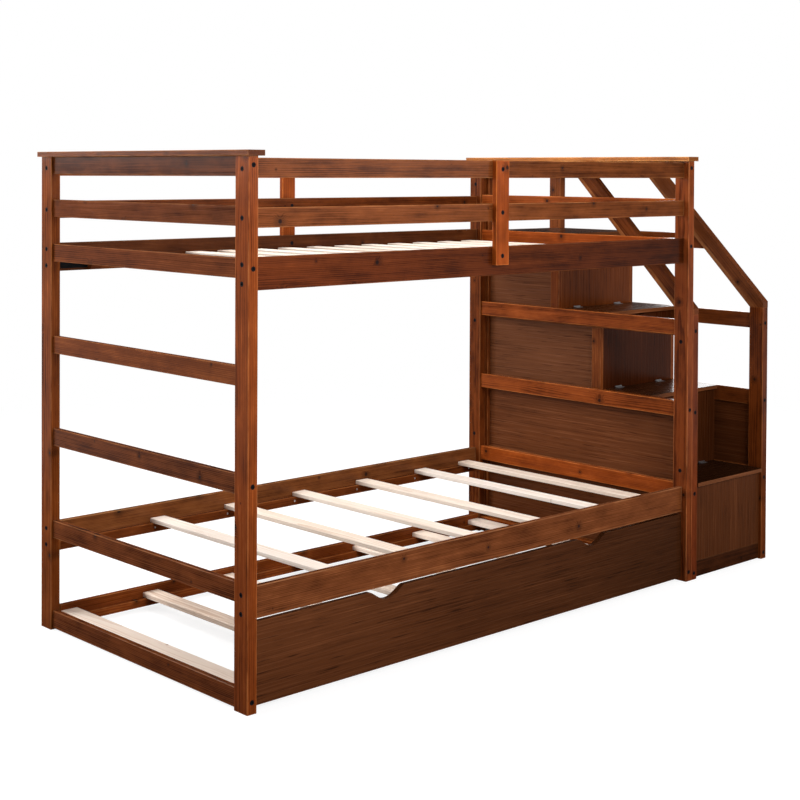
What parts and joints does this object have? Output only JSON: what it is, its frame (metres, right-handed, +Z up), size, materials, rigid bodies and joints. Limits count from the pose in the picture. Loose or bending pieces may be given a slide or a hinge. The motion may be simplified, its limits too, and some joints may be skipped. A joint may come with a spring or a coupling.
{
  "type": "bunk bed with trundle and storage staircase",
  "caption": "Twin bunk bed with slatted decks, guard rails, a pull-out trundle on castors and a storage staircase with flip-up lids and slanting handrails.",
  "frame": {"origin": "on the floor under the middle of the whole object's bounding box", "axes": "+Z up, +X along the bed from the head to the staircase, +Y from the front, where the trundle pulls out, to the back"},
  "size_m": [2.477, 1.104, 1.519],
  "materials": {
    "stained_wood": "satin",
    "stained_panel": "satin",
    "pale_pine": "unfinished",
    "black_steel": "satin",
    "bright_steel": "brushed",
    "grey_plastic": "matte"
  },
  "bodies": {
    "bed_and_staircase": {"head_post_front": "stained_wood", "head_post_back": "stained_wood", "foot_post_front": "stained_wood", "foot_post_back": "stained_wood", "head_cap": "stained_wood", "foot_cap": "stained_wood", "head_end_rails": "stained_wood", "foot_end_rails": "stained_wood", "upper_side_rail_front": "stained_wood", "upper_side_rail_back": "stained_wood", "lower_side_rail_front": "stained_wood", "lower_side_rail_back": "stained_wood", "slat_ledgers": "stained_wood", "upper_slats": "pale_pine", "lower_slats": "pale_pine", "front_guard_rails": "stained_wood", "back_guard_rails": "stained_wood", "guard_stiles": "stained_wood", "corner_brackets": "black_steel", "frame_bolts": "black_steel", "stair_post_inner_front": "stained_wood", "stair_post_outer_front": "stained_wood", "stair_post_inner_back": "stained_wood", "stair_post_outer_back": "stained_wood", "inner_handrail": "stained_wood", "outer_handrail": "stained_wood", "inner_top_rail": "stained_wood", "outer_top_rail": "stained_wood", "inner_side_rails": "stained_wood", "outer_side_rails": "stained_wood", "side_frame_stiles": "stained_wood", "inner_side_panels": "stained_panel", "outer_side_panels": "stained_panel", "kick_board": "stained_wood", "riser_1": "stained_panel", "riser_2": "stained_panel", "riser_3": "stained_panel", "riser_4": "stained_panel", "platform": "stained_panel", "bin_floors": "stained_panel", "stair_cleats": "stained_wood", "stair_back_rails": "stained_wood", "riser_hinge_leaves": "bright_steel"},
    "trundle": {"trundle_front_panel": "stained_panel", "trundle_back_rail": "stained_wood", "trundle_end_rails": "stained_wood", "trundle_ledgers": "stained_wood", "trundle_slats": "pale_pine", "castor_axles": "bright_steel"},
    "castor_head_front": {"castor_wheel_head_front": "grey_plastic"},
    "castor_head_back": {"castor_wheel_head_back": "grey_plastic"},
    "castor_foot_front": {"castor_wheel_foot_front": "grey_plastic"},
    "castor_foot_back": {"castor_wheel_foot_back": "grey_plastic"},
    "lid_1": {"step_lid_1": "stained_panel", "lid_hinge_leaves_1": "bright_steel"},
    "lid_2": {"step_lid_2": "stained_panel", "lid_hinge_leaves_2": "bright_steel"},
    "lid_3": {"step_lid_3": "stained_panel", "lid_hinge_leaves_3": "bright_steel"}
  },
  "joints": [
    {"name": "trundle_pull", "type": "slide", "parent": "bed_and_staircase", "child": "trundle", "axis": [0, -1, 0], "range_m": [0, 1]},
    {"name": "castor_head_front_roll", "type": "hinge", "parent": "trundle", "child": "castor_head_front", "pos_m": [-1.1656, -0.413, 0.018], "axis": [1, 0, 0], "continuous": true},
    {"name": "castor_head_back_roll", "type": "hinge", "parent": "trundle", "child": "castor_head_back", "pos_m": [-1.1656, 0.393, 0.018], "axis": [1, 0, 0], "continuous": true},
    {"name": "castor_foot_front_roll", "type": "hinge", "parent": "trundle", "child": "castor_foot_front", "pos_m": [0.7016, -0.413, 0.018], "axis": [1, 0, 0], "continuous": true},
    {"name": "castor_foot_back_roll", "type": "hinge", "parent": "trundle", "child": "castor_foot_back", "pos_m": [0.7016, 0.393, 0.018], "axis": [1, 0, 0], "continuous": true},
    {"name": "lid_1_flip", "type": "hinge", "parent": "bed_and_staircase", "child": "lid_1", "pos_m": [1.0015, -0.3243, 0.3493], "axis": [-1, 0, 0], "range_deg": [0, 90]},
    {"name": "lid_2_flip", "type": "hinge", "parent": "bed_and_staircase", "child": "lid_2", "pos_m": [1.0015, -0.1153, 0.6418], "axis": [-1, 0, 0], "range_deg": [0, 90]},
    {"name": "lid_3_flip", "type": "hinge", "parent": "bed_and_staircase", "child": "lid_3", "pos_m": [1.0015, 0.0937, 0.9343], "axis": [-1, 0, 0], "range_deg": [0, 90]}
  ],
  "couplings": [
    {"joint": "castor_head_front_roll", "follows": "trundle_pull", "rad_per_m": 55.556},
    {"joint": "castor_head_back_roll", "follows": "trundle_pull", "rad_per_m": 55.556},
    {"joint": "castor_foot_front_roll", "follows": "trundle_pull", "rad_per_m": 55.556},
    {"joint": "castor_foot_back_roll", "follows": "trundle_pull", "rad_per_m": 55.556}
  ]
}
